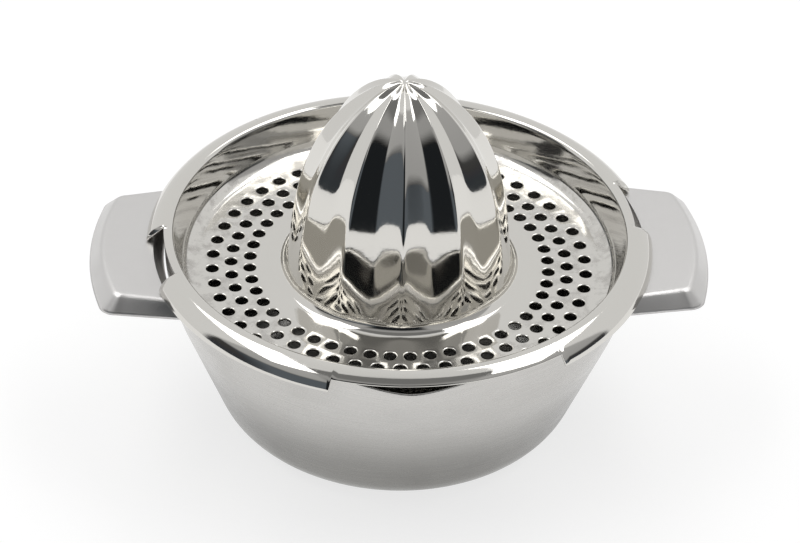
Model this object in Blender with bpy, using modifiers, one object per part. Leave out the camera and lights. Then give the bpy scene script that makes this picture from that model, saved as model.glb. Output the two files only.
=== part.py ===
"""Hand citrus juicer in stainless steel, modelled as the pieces it is pressed and welded from.

A drawn bowl with two pouring spouts carries two pressed wing handles, welded to its wall. A strainer
tray, pressed in one with its ribbed reaming cone, hangs on the bowl's lip and lifts off upwards.

Frame: metres, +Z up, the origin at the centre of the flat base, the handles along X, the spouts on Y.
"""

from math import acos, atan, cos, hypot, pi, radians, sin, sqrt, tan

import bmesh
import bpy
from mathutils import Matrix, Vector

MM = 0.001

# Bowl: the outer surface of the drawn shell.
BOWL_RADIUS = 75.0 * MM
BOWL_HEIGHT = 66.7 * MM
BOWL_BASE_RADIUS = 0.7373 * BOWL_RADIUS  # where the wall would meet the table without its corner
BOWL_UPRIGHT = 15.5 * MM  # height of the upright band under the lip
BOWL_BEND_RADIUS = 60.0 * MM
BOWL_CORNER_RADIUS = 16.0 * MM
SHEET = 0.8 * MM
BOWL_STEPS = 72
BOWL_ARC_STEPS = 4
BOWL_BAND_ROWS = (0.3, 0.65)  # extra rows that the spouts bend along, as shares of the upright band
BOWL_WALL_ROWS = (0.25, 0.6)  # and of the sloping wall

# Spouts: two shallow vees pressed out of the lip.
SPOUT_REACH = 5.0 * MM
SPOUT_DIP = 3.4 * MM
SPOUT_HALF_ANGLE = radians(30.0)
SPOUT_NOSE_ANGLE = radians(3.0)  # rounds the tip of the vee
SPOUT_HEIGHT = 30.0 * MM
SPOUT_SHARPNESS = 1.25  # above 1 hollows the flanks of the vee

# Handles: flat pressed wings with a sloping border and a flange down the bowl's wall.
HANDLE_REACH = 24.0 * MM  # from the bowl's wall to the tip
HANDLE_ROOT_HALF = 34.0 * MM
HANDLE_TIP_HALF = 31.0 * MM
HANDLE_TIP_BOW = 5.0 * MM
HANDLE_CORNER = 5.5 * MM
HANDLE_BORDER = 4.0 * MM
HANDLE_DROP = 5.0 * MM
HANDLE_VALLEY = 3.4 * MM  # the panel stops this far from the wall and slopes down to its weld
HANDLE_STEPS = 4  # along half the root, and round each corner
HANDLE_TIP_STEPS = 3  # along half the tip
WELD_GAP = 0.3 * MM

# Strainer tray: a ring over the lip, a well inside the bowl and the perforated floor.
RING_REACH = 6.0 * MM  # how far the tray's rolled edge stands out past the bowl
SHOULDER_RADIUS = 7.0 * MM
SKIRT_DEPTH = 5.4 * MM  # less than the shoulder's radius, so the edge still leans out
LIP_GAP = 0.3 * MM
WELL_GAP = 1.0 * MM  # between the bowl's inside and the well's wall
WELL_DEPTH = 15.0 * MM
WELL_DRAFT = 3.4 * MM  # how much narrower the well is at its foot
WELL_EDGE_RADIUS = 1.6 * MM
WELL_FOOT_RADIUS = 5.0 * MM
TRAY_TURN = radians(9.0)  # how the loose tray happens to lie on the bowl
TRAY_ARC_STEPS = 3
SHOULDER_STEPS = 4
HANDLE_GAP = 0.7 * MM  # between the skirt's edge and the handles' tops

# Perforations: staggered rows of round holes.
HOLE_DIAMETER = 4.0 * MM
HOLE_SPACING = 7.85 * MM  # along the outermost row
HOLE_ROW_PITCH = 6.0 * MM
HOLE_ROWS = 3
HOLE_EDGE_MARGIN = 5.0 * MM  # from a row's middle to the flat floor's edge
HOLE_SIDES = 6

# Reaming cone: sharp ribs with a valley between each two.
CONE_RADIUS = 36.3 * MM  # over the ribs, at the floor
CONE_HEIGHT = 70.2 * MM
CONE_FOOT_RADIUS = 4.0 * MM
CONE_TAPER = 0.135  # how much narrower a straight taper would leave it at the apex
CONE_CURVE = 3.1
CONE_BLUNTNESS = 0.62
CONE_RIBS = 11
CONE_RIB_AT = radians(-100.6)
VALLEY_DEPTH = 0.1  # as a share of the cone's radius
RIB_STEPS = 6  # columns of the mesh to one rib
CONE_ROWS = 9
CONE_ROW_SPREAD = 0.8  # below 1 puts more of the rows near the apex
VALLEY_FOOT = 24.0 * MM  # height over which the valleys fade in above the foot
VALLEY_TIP = 3.0 * MM  # and fade out below the apex

# Cut-outs of the tray's rolled edge.
WINDOW_ANGLE = radians(54.0)  # over each spout
WINDOW_SKIRT = 2.0 * MM  # what the window leaves of the skirt's depth
NOTCH_ANGLE = radians(19.5)  # one beside each handle, cut in to the bowl's radius
SECTOR_STEPS = 8

SATIN_STEEL = (0.62, 0.61, 0.59, 1.0)
MIRROR_STEEL = (0.74, 0.73, 0.71, 1.0)

RING_TOP = BOWL_HEIGHT + LIP_GAP + SHEET
FLOOR_TOP = RING_TOP - WELL_DEPTH
RING_RADIUS = BOWL_RADIUS + RING_REACH
WELL_RADIUS = BOWL_RADIUS - SHEET - WELL_GAP - SHEET
WELL_FLOOR_RADIUS = WELL_RADIUS - WELL_DRAFT
HANDLE_TOP = RING_TOP - SKIRT_DEPTH - HANDLE_GAP
CONE_BASE_RADIUS = CONE_RADIUS + CONE_FOOT_RADIUS
FLAT_FLOOR_RADIUS = WELL_FLOOR_RADIUS - WELL_FOOT_RADIUS * tan(
    (pi / 2 - atan(WELL_DRAFT / WELL_DEPTH)) / 2
)


def clear_scene():
    for obj in list(bpy.data.objects):
        bpy.data.objects.remove(obj, do_unlink=True)


def new_collection(name, hidden=False):
    collection = bpy.data.collections.new(name)
    collection.hide_render = hidden
    bpy.context.scene.collection.children.link(collection)
    return collection


def steel(name, colour, roughness):
    material = bpy.data.materials.new(name)
    material.use_nodes = True
    shader = material.node_tree.nodes["Principled BSDF"]
    shader.inputs["Base Color"].default_value = colour
    shader.inputs["Metallic"].default_value = 1.0
    shader.inputs["Roughness"].default_value = roughness
    return material


def new_object(name, mesh, collection, material=None):
    obj = bpy.data.objects.new(name, mesh)
    collection.objects.link(obj)
    if material:
        mesh.materials.append(material)
    return obj


def mesh_from(name, build):
    """A mesh made by build(bm) on an empty bmesh."""
    bm = bmesh.new()
    build(bm)
    bmesh.ops.recalc_face_normals(bm, faces=bm.faces)
    mesh = bpy.data.meshes.new(name)
    bm.to_mesh(mesh)
    bm.free()
    return mesh


def rounded(corners, arc_steps):
    """The (x, z) points of a line through corners (x, z, fillet radius), with each fillet as an arc."""
    points = [Vector(corners[0][:2])]
    for before, corner, after in zip(corners, corners[1:], corners[2:]):
        here = Vector(corner[:2])
        back = (Vector(before[:2]) - here).normalized()
        ahead = (Vector(after[:2]) - here).normalized()
        half = back.angle(ahead) / 2
        centre = here + (back + ahead).normalized() * corner[2] / sin(half)
        start = here + back * corner[2] / tan(half) - centre
        turn = start.angle_signed(here + ahead * corner[2] / tan(half) - centre)
        for i in range(arc_steps + 1):
            points.append(centre + Matrix.Rotation(-turn * i / arc_steps, 2) @ start)
    points.append(Vector(corners[-1][:2]))
    return points


def turned_mesh(name, profile, steps):
    """The surface that the profile sweeps about Z: its normals are on the left of the way it runs."""
    mesh = bpy.data.meshes.new(name)
    edges = [(i, i + 1) for i in range(len(profile) - 1)]
    mesh.from_pydata([(x, 0.0, z) for x, z in profile], edges, [])
    guide = new_object(name + "_profile", mesh, bpy.context.scene.collection)
    screw = guide.modifiers.new("turn", "SCREW")
    screw.steps = screw.render_steps = steps
    screw.use_merge_vertices = True
    screw.merge_threshold = 0.00001
    graph = bpy.context.evaluated_depsgraph_get()
    turned = bpy.data.meshes.new_from_object(guide.evaluated_get(graph))
    turned.name = name
    bpy.data.objects.remove(guide, do_unlink=True)
    return turned


def add_sheet(obj, thickness):
    """Gives a surface its sheet thickness, on the side away from its normals."""
    solidify = obj.modifiers.new("sheet", "SOLIDIFY")
    solidify.thickness = thickness
    solidify.offset = -1.0
    solidify.use_even_offset = True


def cut(obj, cutter):
    boolean = obj.modifiers.new(cutter.name, "BOOLEAN")
    boolean.operation = "DIFFERENCE"
    boolean.solver = "EXACT"
    boolean.object = cutter


def as_cutter(obj):
    obj.hide_render = True
    obj.display_type = "WIRE"
    return obj


def smooth(mesh, sharp_degrees):
    mesh.shade_smooth()
    mesh.set_sharp_from_angle(angle=radians(sharp_degrees))


def smoothstep(value):
    value = min(max(value, 0.0), 1.0)
    return value * value * (3.0 - 2.0 * value)


def spout_share(x, y):
    """1 on the middle line of a spout, falling to 0 at its edges."""
    off = abs(Vector((x, y)).angle(Vector((0.0, 1.0 if y > 0 else -1.0))))
    ridge = hypot(off, SPOUT_NOSE_ANGLE) - SPOUT_NOSE_ANGLE
    return max(0.0, 1.0 - ridge / (SPOUT_HALF_ANGLE - SPOUT_NOSE_ANGLE)) ** SPOUT_SHARPNESS


def bowl_profile():
    """The bowl's outer surface from the lip to the middle of the base."""
    corners = [
        (BOWL_RADIUS, BOWL_HEIGHT, 0.0),
        (BOWL_RADIUS, BOWL_HEIGHT - BOWL_UPRIGHT, BOWL_BEND_RADIUS),
        (BOWL_BASE_RADIUS, 0.0, BOWL_CORNER_RADIUS),
        (0.0, 0.0, 0.0),
    ]
    lip, *curve, middle = rounded(corners, BOWL_ARC_STEPS)
    bend, corner = curve[: BOWL_ARC_STEPS + 1], curve[BOWL_ARC_STEPS + 1 :]
    band = [lip.lerp(bend[0], share) for share in BOWL_BAND_ROWS]
    wall = [bend[-1].lerp(corner[0], share) for share in BOWL_WALL_ROWS]
    return [lip, *band, *bend, *wall, *corner, middle]


def make_bowl(collection, material):
    mesh = turned_mesh("bowl", bowl_profile(), BOWL_STEPS)
    for vertex in mesh.vertices:
        x, y, z = vertex.co
        radius = hypot(x, y)
        if z <= BOWL_HEIGHT - SPOUT_HEIGHT or radius < SHEET:
            continue
        rise = smoothstep((z - BOWL_HEIGHT + SPOUT_HEIGHT) / SPOUT_HEIGHT)
        share = spout_share(x, y) * rise
        push = 1.0 + SPOUT_REACH * share / radius
        vertex.co = (x * push, y * push, z - SPOUT_DIP * share * rise)
    smooth(mesh, 40.0)
    bowl = new_object("bowl", mesh, collection, material)
    add_sheet(bowl, SHEET)
    return bowl


def handle_outline(grow, root_radius, z):
    """One loop of the wing's outline, from root to tip and back: grow moves its free sides outwards."""
    root_half = HANDLE_ROOT_HALF - HANDLE_BORDER + grow
    tip_half = HANDLE_TIP_HALF - HANDLE_BORDER + grow
    tip = BOWL_RADIUS + HANDLE_REACH - HANDLE_BORDER + grow
    lean = atan(2.0 * HANDLE_TIP_BOW / tip_half)
    corner_y = tip_half - HANDLE_CORNER
    shoulder_y = corner_y + HANDLE_CORNER * sin(lean)
    shoulder_x = tip - HANDLE_TIP_BOW * (shoulder_y / tip_half) ** 2
    corner_x = shoulder_x - HANDLE_CORNER * cos(lean)
    half = []
    for i in range(HANDLE_STEPS + 1):
        y = root_half * i / HANDLE_STEPS
        half.append((sqrt(root_radius**2 - y**2), y))
    for i in range(HANDLE_STEPS + 1):
        swing = (pi / 2 - lean) * i / HANDLE_STEPS
        half.append((corner_x + HANDLE_CORNER * sin(swing), corner_y + HANDLE_CORNER * cos(swing)))
    for i in reversed(range(HANDLE_TIP_STEPS)):
        y = shoulder_y * i / HANDLE_TIP_STEPS
        half.append((tip - HANDLE_TIP_BOW * (y / tip_half) ** 2, y))
    mirrored = [(x, -y) for x, y in reversed(half[1:-1])]
    return [Vector((x, y, z)) for x, y in half + mirrored]


def handle_mesh():
    def build(bm):
        weld = BOWL_RADIUS + WELD_GAP
        flat = handle_outline(0.0, weld + HANDLE_VALLEY, HANDLE_TOP)
        hem = handle_outline(HANDLE_BORDER, weld, HANDLE_TOP - HANDLE_DROP)
        panel = [bm.verts.new(p) for p in flat]
        skirt = [bm.verts.new(p) for p in hem]
        bm.faces.new(panel)
        for i in range(len(panel)):
            j = (i + 1) % len(panel)
            bm.faces.new((panel[i], panel[j], skirt[j], skirt[i]))

    mesh = mesh_from("handle", build)
    panel = max(mesh.polygons, key=lambda polygon: polygon.area)
    if panel.normal.z < 0:
        mesh.flip_normals()
    smooth(mesh, 30.0)
    return mesh


def make_handles(collection, material):
    """Two wings that share one mesh, half a turn apart."""
    mesh = handle_mesh()
    mesh.materials.append(material)
    for name, turn in (("right_handle", 0.0), ("left_handle", pi)):
        handle = new_object(name, mesh, collection)
        handle.rotation_euler.z = turn
        add_sheet(handle, SHEET)


def cone_radius(height):
    """The radius over the cone's ribs at a height above the tray's floor."""
    share = min(max(height / CONE_HEIGHT, 0.0), 1.0)
    return CONE_RADIUS * (1.0 - CONE_TAPER * share) * (1.0 - share**CONE_CURVE) ** CONE_BLUNTNESS


def valley_share(angle):
    """How far the flank at an angle from a rib lies inside the ribs: 0 on a rib and 1 in a valley."""
    half = pi / CONE_RIBS
    off = abs((angle + half) % (2.0 * half) - half)
    valley = 1.0 - VALLEY_DEPTH
    flank = valley * sin(half) / (sin(off) + valley * sin(half - off))
    return (1.0 - flank) / VALLEY_DEPTH


def valley_reach(height):
    """How deep the valleys are at a height, as a share of the radius: they run out at both ends."""
    at_foot = smoothstep((height - CONE_FOOT_RADIUS) / VALLEY_FOOT)
    return VALLEY_DEPTH * at_foot * smoothstep((CONE_HEIGHT - height) / VALLEY_TIP)


def shoulder_point(swing):
    """A point of the rolled shoulder, at an angle down from its crown."""
    x = RING_RADIUS - SHOULDER_RADIUS * (1.0 - sin(swing))
    return Vector((x, RING_TOP - SHOULDER_RADIUS * (1.0 - cos(swing))))


def tray_profile():
    """The tray's upper surface, from the cone's apex down, out over the floor and over the ring."""
    cone = []
    for i in range(CONE_ROWS):
        swing = pi / 2 * (i / CONE_ROWS)
        height = CONE_FOOT_RADIUS + (CONE_HEIGHT - CONE_FOOT_RADIUS) * cos(swing) ** CONE_ROW_SPREAD
        cone.append(Vector((cone_radius(height) if i else 0.0, FLOOR_TOP + height)))
    above_foot = 1.5 * CONE_FOOT_RADIUS
    rest = rounded(
        [
            (cone_radius(above_foot), FLOOR_TOP + above_foot, 0.0),
            (CONE_RADIUS, FLOOR_TOP, CONE_FOOT_RADIUS),
            (WELL_FLOOR_RADIUS, FLOOR_TOP, WELL_FOOT_RADIUS),
            (WELL_RADIUS, RING_TOP, WELL_EDGE_RADIUS),
            (RING_RADIUS - SHOULDER_RADIUS, RING_TOP, 0.0),
        ],
        TRAY_ARC_STEPS,
    )
    edge_swing = acos(1.0 - SKIRT_DEPTH / SHOULDER_RADIUS)
    shoulder = [shoulder_point(edge_swing * (i + 1) / SHOULDER_STEPS) for i in range(SHOULDER_STEPS)]
    return cone + rest + shoulder


def sector_cutter(name, collection, middle, angle, inner_radius):
    """A block over the tray's rolled edge, outside inner_radius, angle wide and centred on middle."""
    outer_radius = RING_RADIUS + 2.0 * SHEET
    arc = [middle + angle * (i / SECTOR_STEPS - 0.5) for i in range(SECTOR_STEPS + 1)]
    outline = [(inner_radius, a) for a in arc] + [(outer_radius, a) for a in reversed(arc)]

    def build(bm):
        low = RING_TOP - SKIRT_DEPTH - SHEET
        face = bm.faces.new([bm.verts.new((r * cos(a), r * sin(a), low)) for r, a in outline])
        block = bmesh.ops.extrude_face_region(bm, geom=[face])["geom"]
        raised = [v for v in block if isinstance(v, bmesh.types.BMVert)]
        bmesh.ops.translate(bm, verts=raised, vec=(0.0, 0.0, SKIRT_DEPTH + 2.0 * SHEET))

    return as_cutter(new_object(name, mesh_from(name, build), collection))


def hole_rows():
    """(radius, start angle, count) of each row of holes, from the outermost in."""
    outer = FLAT_FLOOR_RADIUS - HOLE_EDGE_MARGIN
    count = round(2.0 * pi * outer / HOLE_SPACING)
    pitch = 2.0 * pi / count
    for row in range(HOLE_ROWS):
        radius = outer - row * HOLE_ROW_PITCH
        if radius - HOLE_EDGE_MARGIN < CONE_BASE_RADIUS:
            return
        yield radius, pitch * (0.5 if row % 2 == 0 else 1.0), count


def hole_cutter(collection):
    def build(bm):
        for radius, start, count in hole_rows():
            for i in range(count):
                angle = start + 2.0 * pi * i / count
                place = Matrix.Rotation(angle, 4, "Z") @ Matrix.Translation(
                    (radius, 0.0, FLOOR_TOP - SHEET / 2.0)
                )
                bmesh.ops.create_cone(
                    bm,
                    cap_ends=True,
                    segments=HOLE_SIDES,
                    radius1=HOLE_DIAMETER / 2.0,
                    radius2=HOLE_DIAMETER / 2.0,
                    depth=4.0 * SHEET,
                    matrix=place,
                )

    return as_cutter(new_object("holes_cutter", mesh_from("holes_cutter", build), collection))


def make_tray(collection, cutters, material):
    """The strainer tray and reaming cone, one pressing, under an empty on the line it lifts along."""
    mesh = turned_mesh("strainer_reamer", tray_profile(), CONE_RIBS * RIB_STEPS)
    for vertex in mesh.vertices:
        x, y, z = vertex.co
        radius, height = hypot(x, y), z - FLOOR_TOP
        if radius < SHEET or radius > CONE_BASE_RADIUS or height <= 0.0:
            continue
        angle = Vector((x, y)).angle_signed(Vector((1.0, 0.0)))
        pull = 1.0 - valley_share(angle) * valley_reach(height)
        vertex.co = (x * pull, y * pull, z)
    mesh.transform(Matrix.Rotation(CONE_RIB_AT, 4, "Z"))
    smooth(mesh, 50.0)
    tray = new_object("strainer_reamer", mesh, collection, material)
    add_sheet(tray, SHEET)

    lift_axis = new_object("strainer_lift_axis", None, collection)
    lift_axis.rotation_euler.z = TRAY_TURN
    window_edge = shoulder_point(acos(1.0 - WINDOW_SKIRT / SHOULDER_RADIUS)).x
    pieces = [tray, hole_cutter(cutters)]
    for side, turn in (("front", -pi / 2), ("back", pi / 2)):
        name = side + "_window_cutter"
        pieces.append(sector_cutter(name, cutters, turn, WINDOW_ANGLE, window_edge))
    for side, turn in (("right", 0.0), ("left", pi)):
        name = side + "_notch_cutter"
        pieces.append(sector_cutter(name, cutters, turn, NOTCH_ANGLE, BOWL_RADIUS))
    for piece in pieces:
        piece.parent = lift_axis
    for cutter in pieces[1:]:
        cut(tray, cutter)
    return tray


def main():
    clear_scene()
    parts = new_collection("hand_citrus_juicer")
    cutters = new_collection("cutters", hidden=True)
    satin = steel("satin_steel", SATIN_STEEL, 0.35)
    mirror = steel("mirror_steel", MIRROR_STEEL, 0.08)
    make_bowl(parts, satin)
    make_handles(parts, satin.copy())
    make_tray(parts, cutters, mirror)
    bpy.context.view_layer.update()


main()
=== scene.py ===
"""Looks of the hand citrus juicer: fine meshes, satin and mirror steel, and a soft studio.

The CAD nodes stay in MuJoCo for collision. Each is replaced here by a finer mesh of the same size, built in
code around its own axis. Sizes are in metres, the bowl's base is at the origin and +Z is up.
"""

from math import acos, atan, cos, exp, hypot, pi, radians, sin, sqrt, tan

import bmesh
import bpy
from mathutils import Matrix, Vector


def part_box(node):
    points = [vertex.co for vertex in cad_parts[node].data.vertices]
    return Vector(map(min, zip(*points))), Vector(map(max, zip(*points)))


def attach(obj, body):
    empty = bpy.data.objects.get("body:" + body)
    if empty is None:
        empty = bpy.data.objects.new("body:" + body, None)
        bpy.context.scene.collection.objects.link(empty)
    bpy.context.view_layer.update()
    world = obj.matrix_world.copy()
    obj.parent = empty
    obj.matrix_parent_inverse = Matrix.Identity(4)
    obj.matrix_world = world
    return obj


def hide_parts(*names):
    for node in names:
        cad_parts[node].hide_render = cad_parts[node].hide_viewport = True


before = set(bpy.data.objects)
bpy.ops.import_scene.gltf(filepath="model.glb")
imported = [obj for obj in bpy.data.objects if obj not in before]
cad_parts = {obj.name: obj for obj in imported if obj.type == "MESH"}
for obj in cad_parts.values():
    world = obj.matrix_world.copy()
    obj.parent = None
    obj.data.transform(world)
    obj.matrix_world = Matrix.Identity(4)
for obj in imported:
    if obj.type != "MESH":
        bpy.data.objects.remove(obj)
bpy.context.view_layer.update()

MM = 0.001

_, BOWL_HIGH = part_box("bowl")
TRAY_LOW, TRAY_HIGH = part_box("strainer_reamer")
_, HANDLE_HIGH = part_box("right_handle")

SHEET = 0.8 * MM
ARC_STEPS = 12  # rows round a fillet

# Bowl
BOWL_RADIUS = BOWL_HIGH.x
BOWL_HEIGHT = BOWL_HIGH.z
BOWL_BASE_RADIUS = 55.3 * MM
BOWL_UPRIGHT = 15.5 * MM
BOWL_BEND_RADIUS = 60.0 * MM
BOWL_CORNER_RADIUS = 16.0 * MM
BOWL_COLUMNS = 288
BOWL_ROW = 2.5 * MM  # the longest step between two rows
BASE_CENTRE = 2.0 * MM  # radius of the face that closes the base
SPOUT_REACH = BOWL_HIGH.y - BOWL_RADIUS
SPOUT_DIP = 3.4 * MM
SPOUT_HALF_ANGLE = radians(30.0)
SPOUT_NOSE_ANGLE = radians(3.0)
SPOUT_SHARPNESS = 1.25
SPOUT_HEIGHT = 30.0 * MM

# Handles
HANDLE_TIP = HANDLE_HIGH.x
HANDLE_TOP = HANDLE_HIGH.z
HANDLE_ROOT_HALF = 34.0 * MM
HANDLE_TIP_HALF = 31.0 * MM
HANDLE_TIP_BOW = 5.0 * MM
HANDLE_CORNER = 5.5 * MM
HANDLE_BORDER = 4.0 * MM
HANDLE_DROP = 5.0 * MM
HANDLE_BEND_RADIUS = 2.2 * MM
HANDLE_BEND_STEPS = 7
HANDLE_ROW = 1.0 * MM
TIP_STEPS = 16  # along half the tip, and round its corner
SIDE_STEPS = 8
ROOT_STEPS = 20  # along half the root
HANDLE_VALLEY = 3.4 * MM  # the panel stops this far from the bowl and dips to its weld
WELD_GAP = 0.3 * MM

# Strainer tray
TRAY_TURN = radians(9.0)  # how the loose tray happens to lie on the bowl
LIP_GAP = 0.3 * MM
WELL_GAP = 1.0 * MM
WELL_DRAFT = 3.4 * MM
RING_REACH = 6.0 * MM
FLOOR_TOP = TRAY_LOW.z + SHEET
RING_TOP = BOWL_HEIGHT + LIP_GAP + SHEET
RING_RADIUS = BOWL_RADIUS + RING_REACH
SHOULDER_RADIUS = 7.0 * MM
SKIRT_DEPTH = 5.4 * MM
WELL_RADIUS = BOWL_RADIUS - SHEET - WELL_GAP - SHEET
WELL_FLOOR_RADIUS = WELL_RADIUS - WELL_DRAFT
WELL_EDGE_RADIUS = 1.6 * MM
WELL_FOOT_RADIUS = 5.0 * MM
WELL_ROW = 1.5 * MM
HOLE_RADIUS = 2.0 * MM
HOLE_ROWS = (60.0 * MM, 54.0 * MM, 48.0 * MM)
HOLE_ROW_PITCH = 6.0 * MM
HOLE_COUNT = 48
HOLE_COLUMNS = 10  # columns of the mesh to one hole
HOLE_SIDE_STEPS = 5
# The rolled rim of a hole: (how much wider than the hole, how far below the floor's top).
HOLE_RIM = (
    (0.42 * MM, 0.0),
    (0.22 * MM, 0.03 * MM),
    (0.08 * MM, 0.11 * MM),
    (0.0, 0.28 * MM),
    (0.0, SHEET - 0.05 * MM),
    (0.05 * MM, SHEET),
)
COLUMNS = HOLE_COUNT * HOLE_COLUMNS

# Reaming cone
CONE_RADIUS = 36.3 * MM  # over the ribs, at the floor
CONE_HEIGHT = TRAY_HIGH.z - FLOOR_TOP
CONE_FOOT_RADIUS = 4.0 * MM
CONE_FOOT_HEIGHT = 1.5 * CONE_FOOT_RADIUS  # the flanks end here, over the fillet
CONE_TAPER = 0.135
CONE_CURVE = 3.1
CONE_BLUNTNESS = 0.62
CONE_RIBS = 11
CONE_RIB_AT = radians(-100.6)  # one rib, in the tray's own frame
VALLEY_DEPTH = 0.10  # as a share of the radius, between two ribs
RIB_ROUNDING = 0.06  # of half a rib's pitch
VALLEY_ROUNDING = 0.16
# The valleys fade in up from the foot: (height where a fade starts, its length).
VALLEY_FADES = ((-4.0 * MM, 34.0 * MM), (1.0 * MM, 6.0 * MM))
VALLEY_CLOSED = 3.0 * MM  # and fade out towards the apex inside this radius
VALLEY_CROWN = 5.0 * MM  # they are deeper round the apex, as if the radius were larger by this
VALLEY_CROWN_AT = 4.0 * MM  # the radius where they are, and the width of the change
CONE_ROWS = 84
CONE_ROW_SPREAD = 0.8  # shares the rows out between the apex and the foot
FOOT_ROW = 1.2 * MM
CONE_COLUMNS = CONE_RIBS * 36
CONE_GRID_RADIUS = 42.5 * MM  # where the cone's columns give way to the holes'
DIMPLE_DEPTH = 0.5 * MM  # at the apex
DIMPLE_RADIUS = 1.8 * MM
AXIS_RADIUS = 0.05 * MM  # of the innermost ring of points

# Cut-outs of the rolled edge: their half angles, and how far round its arc the shoulder then runs
WINDOW_HALF = radians(27.0)
NOTCH_HALF = radians(9.75)
WINDOW_SWING = acos(1.0 - 2.0 * MM / SHOULDER_RADIUS)
NOTCH_SWING = 0.143
SKIRT_SWING = acos(1.0 - SKIRT_DEPTH / SHOULDER_RADIUS)
SHOULDER_STEPS = 16
CUT_SIDE = radians(0.12)  # half the width of the step at a cut-out's end
# The rounded hem: (how far in from the sheet's upper side, how far past its end).
HEM = ((0.12 * MM, 0.26 * MM), (0.4 * MM, 0.36 * MM), (0.68 * MM, 0.26 * MM))


# ---------------------------------------------------------------- shapes


def smoothstep(value):
    value = min(max(value, 0.0), 1.0)
    return value * value * (3.0 - 2.0 * value)


def rounded(corners, steps):
    """The (x, z) points of a line through corners (x, z, fillet radius), with each fillet as an arc."""
    points = [Vector(corners[0][:2])]
    for before, corner, after in zip(corners, corners[1:], corners[2:]):
        here = Vector(corner[:2])
        back = (Vector(before[:2]) - here).normalized()
        ahead = (Vector(after[:2]) - here).normalized()
        half = back.angle(ahead) / 2
        centre = here + (back + ahead).normalized() * corner[2] / sin(half)
        start = here + back * corner[2] / tan(half) - centre
        turn = start.angle_signed(here + ahead * corner[2] / tan(half) - centre)
        for i in range(steps + 1):
            points.append(centre + Matrix.Rotation(-turn * i / steps, 2) @ start)
    points.append(Vector(corners[-1][:2]))
    return points


def resampled(points, longest):
    """The same line with extra points, so that no stretch is longer than longest."""
    result = [points[0]]
    for a, b in zip(points, points[1:]):
        steps = max(1, round((b - a).length / longest))
        result += [a.lerp(b, (i + 1) / steps) for i in range(steps)]
    return result


def offset_line(points, distance):
    """The line moved to the right of the way it runs."""
    moved = []
    for i, point in enumerate(points):
        ahead = points[min(i + 1, len(points) - 1)] - points[max(i - 1, 0)]
        moved.append(point + Vector((ahead.y, -ahead.x)).normalized() * distance)
    return moved


def rolled_edge(outer, inner):
    """Three points that round the cut edge between two ends of a sheet."""
    middle = (outer + inner) / 2
    across = (outer - inner) / 2
    out = Vector((-across.y, across.x))
    return [middle + across * cos(a) + out * sin(a) for a in (pi / 4, pi / 2, 3 * pi / 4)]


def mesh_object(name, vertices, faces, material):
    mesh = bpy.data.meshes.new(name)
    mesh.from_pydata([tuple(v) for v in vertices], [], faces)
    bm = bmesh.new()
    bm.from_mesh(mesh)
    bmesh.ops.recalc_face_normals(bm, faces=bm.faces)
    bm.to_mesh(mesh)
    bm.free()
    mesh.shade_smooth()
    mesh.materials.append(material)
    obj = bpy.data.objects.new(name, mesh)
    bpy.context.scene.collection.objects.link(obj)
    return obj


def strip(faces, above, below):
    """Quads between two closed rows of vertex numbers."""
    count = len(above)
    for i in range(count):
        j = (i + 1) % count
        faces.append((above[i], below[i], below[j], above[j]))


def stitch(faces, inner, outer):
    """Triangles between two closed rows that start at the same angle and differ in count."""
    i = j = 0
    while i < len(inner) or j < len(outer):
        a, b = inner[i % len(inner)], outer[j % len(outer)]
        if (i + 1) * len(outer) <= (j + 1) * len(inner):
            i += 1
            faces.append((a, b, inner[i % len(inner)]))
        else:
            j += 1
            faces.append((a, b, outer[j % len(outer)]))


# ---------------------------------------------------------------- materials

# Pairs of a clean and a marked colour.
BRIGHT_SATIN = ((0.6, 0.59, 0.57), (0.52, 0.51, 0.49))
# painted shade: the darker colours of the lower wall, standing in for the shadowed table it reflects
PAINTED_SHADE_SATIN = ((0.3, 0.295, 0.28), (0.23, 0.225, 0.215))
HANDLE_SATIN = ((0.68, 0.67, 0.66), (0.6, 0.59, 0.58))
MIRROR_STEEL = ((0.67, 0.655, 0.62), (0.5, 0.485, 0.46))

PAINTED_SHADE_TOP = 48.0 * MM  # below the upright band the bowl's satin is painted darker: painted shade for the shadowed table it reflects
PAINTED_SHADE_FADE = (5.0 * MM, -30.0 * MM)  # the fade's ends, over and under that height
PAINTED_SHADE_WANDER = 8.0 * MM
WATERLINE_INNER = (43.0 * MM, 56.0 * MM)  # the stains on the tray's floor fade in between these radii
WATERLINE_TOP = (4.0 * MM, 0.5 * MM)  # and down between these heights over the floor

# Noise scales of brush lines, per metre, or per unit of a turn round the axis.
BOWL_BRUSH = (3.0, 3.0, 5200.0)
BOWL_BRUSH_FINE = (9.0, 9.0, 1500.0)
HANDLE_GRAIN = (160.0, 5200.0, 5200.0)
TRAY_SCRATCHES = (260.0, 3200.0, 900.0)


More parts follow.
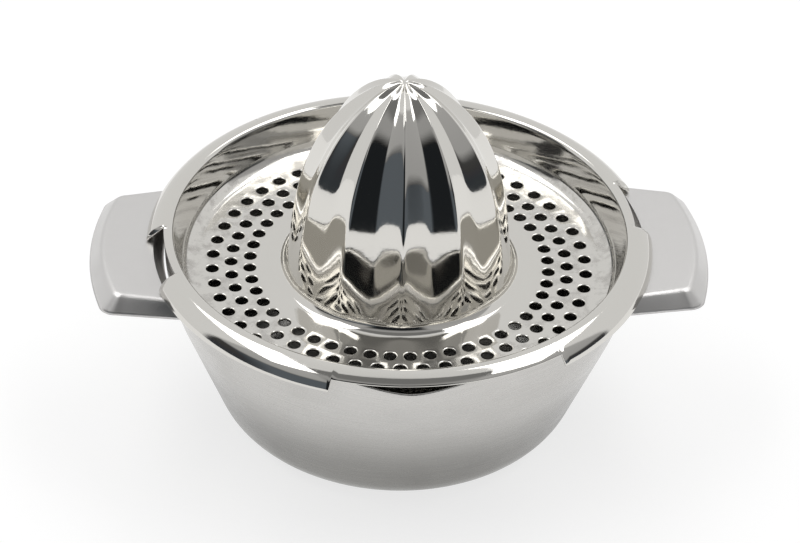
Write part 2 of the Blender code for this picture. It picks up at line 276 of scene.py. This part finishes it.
class Nodes:
    """Short ways to add and link the nodes of one tree."""

    def __init__(self, tree):
        self.nodes = tree.nodes
        self.links = tree.links

    def add(self, kind, inputs=None, **settings):
        """A node with its settings, and its inputs set to a value or linked to an output."""
        node = self.nodes.new("ShaderNode" + kind)
        for name, value in settings.items():
            setattr(node, name, value)
        for key, value in (inputs or {}).items():
            if isinstance(value, bpy.types.NodeSocket):
                self.links.new(value, node.inputs[key])
            else:
                node.inputs[key].default_value = value
        return node

    def math(self, operation, a, b=0.0):
        return self.add("Math", {0: a, 1: b}, operation=operation).outputs["Value"]

    def split(self, vector):
        return self.add("SeparateXYZ", {"Vector": vector}).outputs

    def noise(self, vector, scale, detail=3.0, roughness=0.5):
        inputs = {"Vector": vector, "Scale": scale, "Detail": detail, "Roughness": roughness}
        return self.add("TexNoise", inputs).outputs["Fac"]

    def lines(self, vector, scales, roughness=0.6):
        """Noise drawn out into brush lines along the axes whose scale is small."""
        drawn = self.add("Mapping", {"Vector": vector, "Scale": scales}).outputs["Vector"]
        return self.noise(drawn, 1.0, 2.0, roughness)

    def ranged(self, value, low, high, to_low, to_high):
        """The range from low to high, eased into the range from to_low to to_high."""
        inputs = {"Value": value, "From Min": low, "From Max": high, "To Min": to_low, "To Max": to_high}
        return self.add("MapRange", inputs, interpolation_type="SMOOTHSTEP").outputs["Result"]

    def mixed(self, amount, a, b, blend="MIX"):
        """Colour a turned into b: each is an output or a colour of three values."""
        mix = self.add("Mix", {0: amount}, data_type="RGBA", blend_type=blend)
        for key, colour in ((6, a), (7, b)):
            if isinstance(colour, bpy.types.NodeSocket):
                self.links.new(colour, mix.inputs[key])
            else:
                mix.inputs[key].default_value = (*colour, 1.0)
        return mix.outputs[2]

    def bump(self, height, distance, strength, before=None):
        inputs = {"Height": height, "Distance": distance, "Strength": strength}
        if before is not None:
            inputs["Normal"] = before
        return self.add("Bump", inputs).outputs["Normal"]

    def ramp(self, value, stops, tint=1.0):
        """A ramp of greys over a sine: stops are (angle in degrees, brightness), a tint above 1 is bluish."""
        ramp = self.add("ValToRGB", {"Fac": value})
        elements = ramp.color_ramp.elements
        while len(elements) < len(stops):
            elements.new(0.5)
        for element, (angle, grey) in zip(elements, stops):
            element.position = sin(radians(angle))
            element.color = (grey, grey * tint**0.5, grey * tint, 1.0)
        return ramp.outputs["Color"]


def new_material(name):
    """A material, its nodes and its shader."""
    material = bpy.data.materials.new(name)
    material.use_nodes = True
    return material, Nodes(material.node_tree), material.node_tree.nodes["Principled BSDF"]


def finish_steel(tree, shader, colour, roughness, normal):
    shader.inputs["Metallic"].default_value = 1.0
    tree.links.new(colour, shader.inputs["Base Color"])
    tree.links.new(roughness, shader.inputs["Roughness"])
    tree.links.new(normal, shader.inputs["Normal"])


def flat_part(tree, place):
    """The part of a place that lies across the axis."""
    x, y, _ = tree.split(place)
    return tree.add("CombineXYZ", {"X": x, "Y": y}).outputs["Vector"]


def round_the_axis(tree, place):
    """The direction of a place from the axis, with its height, so that lines of noise run round."""
    unit = tree.add("VectorMath", {0: flat_part(tree, place)}, operation="NORMALIZE").outputs["Vector"]
    x, y, _ = tree.split(unit)
    return tree.add("CombineXYZ", {"X": x, "Y": y, "Z": tree.split(place)["Z"]}).outputs["Vector"]


def bowl_satin():
    """Satin steel brushed round the bowl, with painted shade that darkens it low on the wall, for the
    shadowed table it reflects.
    """
    material, tree, shader = new_material("bowl_satin")
    place = tree.add("TexCoord").outputs["Object"]
    around = round_the_axis(tree, place)
    brush = tree.lines(around, BOWL_BRUSH)
    fine = tree.lines(around, BOWL_BRUSH_FINE)
    blotch = tree.noise(place, 38.0, 4.0)

    brushed = tree.ranged(brush, 0.3, 0.7, 0.0, 0.5)
    marks = tree.math("ADD", brushed, tree.ranged(blotch, 0.35, 0.7, 0.0, 0.5))
    # painted shade: low on the wall the colour turns to the darker pair, standing in for the shadowed table
    # the wall reflects
    edge = tree.math("ADD", tree.split(place)["Z"], tree.math("MULTIPLY", blotch, PAINTED_SHADE_WANDER))
    low = tree.ranged(edge, PAINTED_SHADE_TOP + PAINTED_SHADE_FADE[0], PAINTED_SHADE_TOP + PAINTED_SHADE_FADE[1], 0.0, 1.0)
    colour = tree.mixed(low, tree.mixed(marks, *BRIGHT_SATIN), tree.mixed(marks, *PAINTED_SHADE_SATIN))

    rough = tree.ranged(fine, 0.3, 0.7, 0.22, 0.29)
    rough = tree.math("ADD", rough, tree.ranged(blotch, 0.4, 0.7, 0.0, 0.05))
    normal = tree.bump(fine, 0.08 * MM, 0.3, tree.bump(brush, 0.04 * MM, 0.35))
    finish_steel(tree, shader, colour, rough, normal)
    return material


def handle_satin():
    """Fine satin with its grain along the wing and a soft cloudiness."""
    material, tree, shader = new_material("handle_satin")
    place = tree.add("TexCoord").outputs["Object"]
    grain = tree.lines(place, HANDLE_GRAIN)
    cloud = tree.noise(place, 55.0, 4.0)
    colour = tree.mixed(cloud, *HANDLE_SATIN)
    rough = tree.ranged(cloud, 0.35, 0.65, 0.3, 0.36)
    rough = tree.math("ADD", rough, tree.ranged(grain, 0.3, 0.7, 0.0, 0.05))
    finish_steel(tree, shader, colour, rough, tree.bump(grain, 0.06 * MM, 0.3))
    return material


def tray_mirror():
    """Mirror polish, faintly wavy, with fine scratches and water stains on the floor by the well's wall."""
    material, tree, shader = new_material("tray_mirror")
    place = tree.add("TexCoord").outputs["Object"]
    height = tree.split(place)["Z"]
    radius = tree.add("VectorMath", {0: flat_part(tree, place)}, operation="LENGTH").outputs["Value"]
    wave = tree.noise(place, 85.0, 2.0)
    speck = tree.noise(place, 900.0, 3.0)
    spots = tree.noise(place, 170.0, 5.0, 0.65)
    scratch = tree.lines(place, TRAY_SCRATCHES, 0.7)

    near_floor = tree.ranged(height, *(FLOOR_TOP + h for h in WATERLINE_TOP), 0.0, 1.0)
    off_cone = tree.ranged(radius, *WATERLINE_INNER, 0.0, 1.0)
    on_floor = tree.math("MULTIPLY", near_floor, off_cone)
    stain = tree.math("MULTIPLY", on_floor, tree.ranged(spots, 0.45, 0.66, 0.0, 1.0))
    colour = tree.mixed(stain, *MIRROR_STEEL)

    rough = tree.ranged(speck, 0.3, 0.7, 0.045, 0.075)
    rough = tree.math("ADD", rough, tree.math("MULTIPLY", stain, 0.22))
    rough = tree.math("ADD", rough, tree.math("MULTIPLY", on_floor, 0.05))
    normal = tree.bump(scratch, 0.03 * MM, 0.12, tree.bump(wave, 0.35 * MM, 0.16))
    finish_steel(tree, shader, colour, rough, normal)
    return material


# ---------------------------------------------------------------- bowl


def spout_share(x, y):
    """1 on the middle line of a spout, falling to 0 at its edges."""
    off = abs(Vector((x, y)).angle(Vector((0.0, 1.0 if y > 0 else -1.0))))
    ridge = hypot(off, SPOUT_NOSE_ANGLE) - SPOUT_NOSE_ANGLE
    return max(0.0, 1.0 - ridge / (SPOUT_HALF_ANGLE - SPOUT_NOSE_ANGLE)) ** SPOUT_SHARPNESS


def bowl_point(radius, z, angle):
    rise = smoothstep((z - BOWL_HEIGHT + SPOUT_HEIGHT) / SPOUT_HEIGHT)
    share = spout_share(cos(angle), sin(angle)) * rise
    reach = radius + SPOUT_REACH * share
    return (reach * cos(angle), reach * sin(angle), z - SPOUT_DIP * share * rise)


def make_bowl(material):
    outer = resampled(
        rounded(
            [
                (BOWL_RADIUS, BOWL_HEIGHT - SHEET / 2, 0.0),
                (BOWL_RADIUS, BOWL_HEIGHT - BOWL_UPRIGHT, BOWL_BEND_RADIUS),
                (BOWL_BASE_RADIUS, 0.0, BOWL_CORNER_RADIUS),
                (BASE_CENTRE, 0.0, 0.0),
            ],
            ARC_STEPS,
        ),
        BOWL_ROW,
    )
    inner = offset_line(outer, SHEET)
    loop = list(reversed(outer)) + rolled_edge(outer[0], inner[0]) + inner
    vertices, faces, rows = [], [], []
    for radius, z in loop:
        rows.append(range(len(vertices), len(vertices) + BOWL_COLUMNS))
        for i in range(BOWL_COLUMNS):
            vertices.append(bowl_point(radius, z, 2 * pi * i / BOWL_COLUMNS))
    for below, above in zip(rows, rows[1:]):
        strip(faces, above, below)
    faces.append(tuple(reversed(rows[0])))
    faces.append(tuple(rows[-1]))
    return mesh_object("bowl_shell", vertices, faces, material)


# ---------------------------------------------------------------- handles


def handle_tip(y, tip, tip_half):
    """A point of the wing's bowed tip."""
    return (tip - HANDLE_TIP_BOW * (y / tip_half) ** 2, y)


def handle_loop(grow, root_radius, z):
    """One loop of a wing's outline: grow moves its free sides outwards."""
    root_half = HANDLE_ROOT_HALF - HANDLE_BORDER + grow
    tip_half = HANDLE_TIP_HALF - HANDLE_BORDER + grow
    corner = HANDLE_CORNER - HANDLE_BORDER / 2 + grow / 2
    tip = HANDLE_TIP - HANDLE_BORDER + grow
    lean = atan(2.0 * HANDLE_TIP_BOW / tip_half)
    corner_y = tip_half - corner
    shoulder_y = corner_y + corner * sin(lean)
    corner_x = handle_tip(shoulder_y, tip, tip_half)[0] - corner * cos(lean)

    half = [handle_tip(shoulder_y * i / TIP_STEPS, tip, tip_half) for i in range(TIP_STEPS)]
    for i in range(TIP_STEPS + 1):
        swing = lean + (pi / 2 - lean) * i / TIP_STEPS
        half.append((corner_x + corner * cos(swing), corner_y + corner * sin(swing)))
    side_start = Vector(half[-1])
    side_end = Vector((sqrt(root_radius**2 - root_half**2), root_half))
    half += [tuple(side_start.lerp(side_end, i / SIDE_STEPS)) for i in range(1, SIDE_STEPS + 1)]
    for i in reversed(range(ROOT_STEPS)):
        y = root_half * i / ROOT_STEPS
        half.append((sqrt(root_radius**2 - y**2), y))
    mirrored = [(x, -y) for x, y in reversed(half[1:-1])]
    return [Vector((x, y, z)) for x, y in half + mirrored]


def handle_rows():
    """(grow, drop) from the flat panel over the bend and down the sloping border."""
    corners = [
        (-HANDLE_BORDER, 0.0, 0.0),
        (0.0, 0.0, HANDLE_BEND_RADIUS),
        (HANDLE_BORDER, -HANDLE_DROP, 0.0),
    ]
    return resampled(rounded(corners, HANDLE_BEND_STEPS), HANDLE_ROW)


def make_handle(name, turn, material):
    vertices, faces, rows = [], [], []
    for grow, drop in handle_rows():
        valley = HANDLE_VALLEY * (1 - smoothstep(-drop / HANDLE_DROP))
        loop = handle_loop(grow, BOWL_RADIUS + WELD_GAP + valley, HANDLE_TOP + drop)
        rows.append(range(len(vertices), len(vertices) + len(loop)))
        vertices += loop
    for above, below in zip(rows, rows[1:]):
        strip(faces, above, below)
    faces.append(tuple(rows[0]))
    wing = mesh_object(name, vertices, faces, material)
    wing.data.transform(Matrix.Rotation(turn, 4, "Z"))
    sheet = wing.modifiers.new("sheet", "SOLIDIFY")
    sheet.thickness = SHEET
    sheet.offset = -1.0
    sheet.use_even_offset = True
    return wing


# ---------------------------------------------------------------- strainer tray


def cone_radius(height):
    share = min(max(height / CONE_HEIGHT, 0.0), 1.0)
    return CONE_RADIUS * (1.0 - CONE_TAPER * share) * (1.0 - share**CONE_CURVE) ** CONE_BLUNTNESS


def rib_depth(angle):
    """How far the flank at an angle lies inside the ribs, from 0 on a rib to 1 in a valley."""
    half = pi / CONE_RIBS
    off = abs((angle - CONE_RIB_AT + half) % (2 * half) - half) / half
    off = 1.0 - hypot(1.0 - hypot(off, RIB_ROUNDING), VALLEY_ROUNDING)
    off = min(max(off, 0.0), 1.0)
    valley = 1.0 - VALLEY_DEPTH
    line = valley * sin(half) / (sin(off * half) + valley * sin((1.0 - off) * half))
    return (1.0 - line) / VALLEY_DEPTH


def cone_rows():
    """(radius, height over the floor) along a rib, from near the apex to the foot's fillet."""
    rows = []
    for i in range(1, CONE_ROWS + 1):
        swing = pi / 2 * i / CONE_ROWS
        height = CONE_FOOT_HEIGHT + (CONE_HEIGHT - CONE_FOOT_HEIGHT) * cos(swing) ** CONE_ROW_SPREAD
        rows.append(Vector((cone_radius(height), height)))
    return rows


def valley_reach(radius, height):
    """The depth of the valleys: they deepen up from the foot and close round the apex."""
    crown = VALLEY_CROWN * exp(-(((radius - VALLEY_CROWN_AT) / VALLEY_CROWN_AT) ** 2))
    fade = 1.0
    for start, length in VALLEY_FADES:
        fade *= smoothstep((height - start) / length)
    return VALLEY_DEPTH * (radius + crown) * fade * smoothstep(radius / VALLEY_CLOSED)


def inner_line():
    """The upper surface from the apex to the inner edge of the perforated band."""
    cone = [Vector((r, FLOOR_TOP + h)) for r, h in cone_rows()]
    foot = rounded(
        [
            (cone_radius(CONE_FOOT_HEIGHT), FLOOR_TOP + CONE_FOOT_HEIGHT, 0.0),
            (CONE_RADIUS, FLOOR_TOP, CONE_FOOT_RADIUS),
            (CONE_GRID_RADIUS, FLOOR_TOP, 0.0),
        ],
        ARC_STEPS,
    )
    return cone + resampled(foot, FOOT_ROW)[1:]


def outer_line():
    """The upper surface from the outer edge of the perforated band to the ring's crown."""
    corners = [
        (HOLE_ROWS[0] + HOLE_ROW_PITCH / 2, FLOOR_TOP, 0.0),
        (WELL_FLOOR_RADIUS, FLOOR_TOP, WELL_FOOT_RADIUS),
        (WELL_RADIUS, RING_TOP, WELL_EDGE_RADIUS),
        (RING_RADIUS - SHOULDER_RADIUS, RING_TOP, 0.0),
    ]
    return resampled(rounded(corners, ARC_STEPS), WELL_ROW)


def shoulder_end(angle):
    """How far round its arc the shoulder runs at an angle of the tray."""
    turned = angle % (2 * pi)
    for middle in (pi / 2, 3 * pi / 2):
        if abs(turned - middle) < WINDOW_HALF:
            return WINDOW_SWING
    for middle in (0.0, pi, 2 * pi):
        if abs(turned - middle) < NOTCH_HALF:
            return NOTCH_SWING
    return SKIRT_SWING


def column_angles():
    """The columns' angles along the cut edge: columns beside a cut's end are drawn close to it."""
    drawn = [2 * pi * i / COLUMNS for i in range(COLUMNS)]
    cuts = ((pi / 2, WINDOW_HALF), (3 * pi / 2, WINDOW_HALF), (0.0, NOTCH_HALF), (pi, NOTCH_HALF))
    for middle, half in cuts:
        for end in (middle - half, middle + half):
            before = int(end / (2 * pi) * COLUMNS // 1) % COLUMNS
            drawn[before] = end - CUT_SIDE
            drawn[(before + 1) % COLUMNS] = end + CUT_SIDE
    return drawn


def turned_point(radius, z, column, columns=COLUMNS):
    angle = 2 * pi * column / columns
    return (radius * cos(angle), radius * sin(angle), z)


class Pressing:
    """A sheet built as rings of vertices round the axis: its upper side, its lower side and its edges."""

    def __init__(self):
        self.vertices = []
        self.faces = []

    def ring(self, points):
        first = len(self.vertices)
        self.vertices += points
        return list(range(first, len(self.vertices)))

    def turned_ring(self, radius, z):
        return self.ring(turned_point(radius, z, i) for i in range(COLUMNS))

    def strip(self, above, below):
        strip(self.faces, above, below)

    def both(self, edges, next_edges):
        """The next strip of the upper and of the lower side."""
        self.strip(edges[0], next_edges[0])
        self.strip(next_edges[1], edges[1])
        return next_edges


def ribbed_rows(pressing, line, inset):
    """Rows of the cone and its foot. inset is 0 for the upper side and the sheet's thickness below it."""
    made = []
    for i, point in enumerate(line):
        ahead = line[min(i + 1, len(line) - 1)] - line[max(i - 1, 0)]
        normal = Vector((-ahead.y, ahead.x)).normalized()
        height = point.y - FLOOR_TOP
        reach = valley_reach(point.x, height) if height > 0 else 0.0
        dimple = DIMPLE_DEPTH * exp(-((point.x / DIMPLE_RADIUS) ** 2))
        row = []
        for k in range(CONE_COLUMNS):
            depth = rib_depth(2 * pi * k / CONE_COLUMNS) * reach + inset + dimple
            place = point - normal * depth
            row.append(turned_point(max(place.x, AXIS_RADIUS), place.y, k, CONE_COLUMNS))
        made.append(pressing.ring(row))
    return made


def add_cone(pressing):
    """The cone and its foot. It returns the outer edges of the upper and the lower side."""
    line = [Vector((AXIS_RADIUS, TRAY_HIGH.z))] + inner_line()
    near = HOLE_ROWS[-1] - HOLE_ROW_PITCH / 2
    edges = []
    for inset in (0.0, SHEET):
        rows = ribbed_rows(pressing, line, inset)
        for above, below in zip(rows, rows[1:]):
            pressing.strip(above, below)
        pressing.faces.append(tuple(rows[0]))
        edge = pressing.turned_ring(near, FLOOR_TOP - inset)
        stitch(pressing.faces, rows[-1], edge)
        edges.append(edge)
    return edges


def add_hole(pressing, centre, top_cell, low_cell):
    """A round hole with a rolled rim inside a cell: each cell is the loop of vertices round it."""
    ways = [(Vector(pressing.vertices[v][:2]) - centre).normalized() for v in top_cell]
    previous = top_cell
    for wider, drop in HOLE_RIM:
        rim = pressing.ring([(*(centre + way * (HOLE_RADIUS + wider)), FLOOR_TOP - drop) for way in ways])
        pressing.strip(rim, previous)
        previous = rim
    pressing.strip(low_cell, previous)


def add_cell_sides(pressing, column, near, far, z):
    """The points between the rings on one radial side of a cell."""
    radii = [near + (far - near) * s / HOLE_SIDE_STEPS for s in range(1, HOLE_SIDE_STEPS)]
    return pressing.ring([turned_point(radius, z, column) for radius in radii])


def add_hole_row(pressing, edges, row_radius, start):
    """A ring of cells, each with a hole, outwards from the edges. start is the first cell's column."""
    near, far = row_radius - HOLE_ROW_PITCH / 2, row_radius + HOLE_ROW_PITCH / 2
    levels = (FLOOR_TOP, FLOOR_TOP - SHEET)
    far_edges = [pressing.turned_ring(far, z) for z in levels]
    columns = [(start + HOLE_COLUMNS * k) % COLUMNS for k in range(HOLE_COUNT)]
    sides = {c: [add_cell_sides(pressing, c, near, far, z) for z in levels] for c in columns}
    for column in columns:
        beyond = (column + HOLE_COLUMNS) % COLUMNS
        along = [(column + i) % COLUMNS for i in range(HOLE_COLUMNS + 1)]
        cells = []
        for side, (near_edge, far_edge) in enumerate(zip(edges, far_edges)):
            cell = [near_edge[c] for c in along] + sides[beyond][side]
            cell += [far_edge[c] for c in reversed(along)] + list(reversed(sides[column][side]))
            cells.append(cell)
        centre = Vector(turned_point(row_radius, 0.0, column + HOLE_COLUMNS // 2)[:2])
        add_hole(pressing, centre, *cells)
    return far_edges


def shoulder_row(drawn, share, radius, past=0.0):
    """Points round the rolled shoulder at a share of its arc. past carries on beyond the arc's end."""
    middle = Vector((RING_RADIUS - SHOULDER_RADIUS, RING_TOP - SHOULDER_RADIUS))
    points = []
    for i, drawn_angle in enumerate(drawn):
        regular = 2 * pi * i / COLUMNS
        swing = shoulder_end(drawn_angle) * share
        shift = (drawn_angle - regular + pi) % (2 * pi) - pi
        angle = regular + shift * min(1.0, share * 3.0)
        x = middle.x + radius * sin(swing) + past * cos(swing)
        z = middle.y + radius * cos(swing) - past * sin(swing)
        points.append((x * cos(angle), x * sin(angle), z))
    return points


def add_wall_and_ring(pressing, edges):
    outer = outer_line()
    for point, under in zip(outer[1:], offset_line(outer, SHEET)[1:]):
        edges = pressing.both(edges, [pressing.turned_ring(*point), pressing.turned_ring(*under)])
    return edges


def add_rolled_edge(pressing, edges):
    """The shoulder, cut short at the windows and the notches, and its rounded hem."""
    drawn = column_angles()
    for step in range(1, SHOULDER_STEPS + 1):
        share = step / SHOULDER_STEPS
        radii = (SHOULDER_RADIUS, SHOULDER_RADIUS - SHEET)
        edges = pressing.both(edges, [pressing.ring(shoulder_row(drawn, share, r)) for r in radii])
    top_edge, low_edge = edges
    for inward, past in HEM:
        hem = pressing.ring(shoulder_row(drawn, 1.0, SHOULDER_RADIUS - inward, past))
        pressing.strip(top_edge, hem)
        top_edge = hem
    pressing.strip(top_edge, low_edge)


def make_tray(material):
    pressing = Pressing()
    edges = add_cone(pressing)
    for number, row_radius in enumerate(reversed(HOLE_ROWS)):
        start = HOLE_COLUMNS // 2 if number % 2 == 0 else 0
        edges = add_hole_row(pressing, edges, row_radius, start)
    add_rolled_edge(pressing, add_wall_and_ring(pressing, edges))
    tray = mesh_object("strainer_tray", pressing.vertices, pressing.faces, material)
    tray.data.transform(Matrix.Rotation(TRAY_TURN, 4, "Z"))
    return tray


# ---------------------------------------------------------------- studio

TABLE_RADIUS = 0.5  # to the front and the back
TABLE_STRETCH = 2.4  # how much wider the table is than it is deep
TABLE_GLOW = 0.72
TABLE_DROP = 0.05 * MM  # keeps the table clear of the bowl's base
FAR_FLOOR_RADIUS = 6.0

STUDIO_TURN = radians(3.7)
# (angle in degrees, brightness): by elevation, and for ROOM_ACROSS by how far to the side.
BACKDROP = ((0, 0.85), (50, 0.85), (80, 0.8), (90, 0.7))
LEFT_ROOM = ((0, 0.04), (26, 0.06), (32, 0.45), (57, 0.5), (64, 0.27), (90, 0.27))
RIGHT_ROOM = ((0, 0.04), (9, 0.06), (15, 0.42), (57, 0.5), (64, 0.27), (90, 0.27))
ROOM_ACROSS = ((0, 0.015), (17, 0.015), (25, 0.12), (50, 0.12), (64, 0.04), (90, 0.04))
ROOM_TINT = 1.3
# In parts of a direction's unit vector: where a light begins and where it is full.
ROOM_MIDDLE = (-0.1, 0.1)  # from the left room to the right one
PANEL_SIDES = (0.3, 0.45)
PANEL_HEIGHTS = (0.6, 0.76)
PANEL_MIDDLE = 0.8  # how much of a high panel shows in the middle
BACKDROP_SLOPE = -0.1
BACKDROP_EDGE = (-0.03, 0.05)
CAMERA_BACKDROP = (0.95, 0.95, 0.95)

SOFTBOX_AZIMUTHS = {"softbox_left": 165.0, "softbox_right": 20.0}
SOFTBOX_ELEVATION = 62.0
SOFTBOX_DISTANCE = 1.6
SOFTBOX_SIZE = (1.5, 0.5)
SOFTBOX_POWER = 6.0

CAMERA_AZIMUTH = radians(-93.7)
CAMERA_ELEVATION = radians(36.72)
CAMERA_DISTANCE = 1.008
CAMERA_TARGET = Vector((0.36 * MM, -0.02 * MM, FLOOR_TOP - 3.1 * MM))
CAMERA_LENS = 140.8
CAMERA_ROLL = radians(1.75)


def direction(azimuth, elevation):
    """A unit vector at an azimuth from +X and an elevation."""
    return Vector((cos(elevation) * cos(azimuth), cos(elevation) * sin(azimuth), sin(elevation)))


def oval_mesh(name, inner, outer, material):
    """A flat oval ring in the plane z = 0, or an oval where inner is 0, TABLE_STRETCH times as wide."""
    columns = 128
    vertices, faces = [], []
    for radius in (inner, outer) if inner else (outer,):
        for i in range(columns):
            x, y, z = turned_point(radius, 0.0, i, columns)
            vertices.append((TABLE_STRETCH * x, y, z))
    if inner:
        strip(faces, range(columns, 2 * columns), range(columns))
    else:
        faces.append(tuple(range(columns)))
    return mesh_object(name, vertices, faces, material)


def make_floor():
    """A pale light table, and round it a pale floor that is left out of the steel's reflections."""
    material, _, shader = new_material("floor_paper")
    shader.inputs["Base Color"].default_value = (0.33, 0.33, 0.33, 1.0)
    shader.inputs["Emission Color"].default_value = (1.0, 1.0, 1.0, 1.0)
    shader.inputs["Emission Strength"].default_value = TABLE_GLOW
    shader.inputs["Roughness"].default_value = 0.9
    shader.inputs["Specular IOR Level"].default_value = 0.2
    table = oval_mesh("table", 0.0, TABLE_RADIUS, material)
    far_floor = oval_mesh("far_floor", TABLE_RADIUS, FAR_FLOOR_RADIUS, material)
    far_floor.visible_glossy = False
    for obj in (table, far_floor):
        obj.location.z = -TABLE_DROP


def room_light(tree, x, z):
    """The room on the camera's side: dark low down, with lit panels high on its two sides."""
    right = tree.ranged(x, *ROOM_MIDDLE, 0.0, 1.0)
    panels = tree.mixed(right, tree.ramp(z, LEFT_ROOM), tree.ramp(z, RIGHT_ROOM))
    aside = tree.math("ABSOLUTE", x)
    sides = tree.ranged(aside, *PANEL_SIDES, 0.0, 1.0)
    high = tree.ranged(z, *PANEL_HEIGHTS, 0.0, PANEL_MIDDLE)
    shown = tree.math("MULTIPLY", panels, tree.math("MAXIMUM", sides, high))
    return tree.mixed(1.0, shown, tree.ramp(aside, ROOM_ACROSS, ROOM_TINT), "LIGHTEN")


def make_world():
    """A studio round the object: a pale backdrop behind it, and a darker room on the camera's side."""
    world = bpy.data.worlds.new("studio")
    world.use_nodes = True
    bpy.context.scene.world = world
    tree = Nodes(world.node_tree)
    inputs = {"Vector": tree.add("TexCoord").outputs["Generated"], "Rotation": (0.0, 0.0, STUDIO_TURN)}
    x, y, z = tree.split(tree.add("Mapping", inputs, vector_type="POINT").outputs["Vector"])

    # How far a direction lies behind the line between the room and the backdrop.
    line = tree.add("Math", {0: x, 1: BACKDROP_SLOPE, 2: y}, operation="MULTIPLY_ADD").outputs["Value"]
    behind = tree.ranged(line, *BACKDROP_EDGE, 0.0, 1.0)
    mirrored = tree.mixed(behind, room_light(tree, x, z), tree.ramp(z, BACKDROP))
    camera_ray = tree.add("LightPath").outputs["Is Camera Ray"]
    seen = tree.mixed(camera_ray, mirrored, CAMERA_BACKDROP)
    tree.links.new(seen, tree.nodes["Background"].inputs["Color"])


def make_lights():
    target = Vector((0.0, 0.0, FLOOR_TOP))
    for name, azimuth in SOFTBOX_AZIMUTHS.items():
        towards = direction(radians(azimuth), radians(SOFTBOX_ELEVATION))
        data = bpy.data.lights.new(name, "AREA")
        data.shape = "RECTANGLE"
        data.size, data.size_y = SOFTBOX_SIZE
        data.energy = SOFTBOX_POWER
        lamp = bpy.data.objects.new(name, data)
        lamp.location = target + towards * SOFTBOX_DISTANCE
        lamp.rotation_euler = (-towards).to_track_quat("-Z", "Y").to_euler()
        bpy.context.scene.collection.objects.link(lamp)


def make_camera():
    data = bpy.data.cameras.new("camera")
    data.lens = CAMERA_LENS
    data.sensor_width = 36.0
    data.clip_end = 20.0
    camera = bpy.data.objects.new("camera", data)
    back = direction(CAMERA_AZIMUTH, CAMERA_ELEVATION)
    aim = (-back).to_track_quat("-Z", "Y").to_matrix().to_4x4()
    place = Matrix.Translation(CAMERA_TARGET + back * CAMERA_DISTANCE)
    camera.matrix_world = place @ aim @ Matrix.Rotation(CAMERA_ROLL, 4, "Z")
    bpy.context.scene.collection.objects.link(camera)
    bpy.context.scene.camera = camera


def main():
    bowl = make_bowl(bowl_satin())
    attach(bowl, "bowl_body")
    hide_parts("bowl")

    wing_steel = handle_satin()
    for name, node, turn in (("right_wing", "right_handle", 0.0), ("left_wing", "left_handle", pi)):
        wing = make_handle(name, turn, wing_steel)
        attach(wing, "bowl_body")
        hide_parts(node)

    tray = make_tray(tray_mirror())
    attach(tray, "strainer_body")
    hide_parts("strainer_reamer")

    make_floor()
    make_world()
    make_lights()
    make_camera()
    bpy.context.scene.view_settings.view_transform = "Standard"


main()
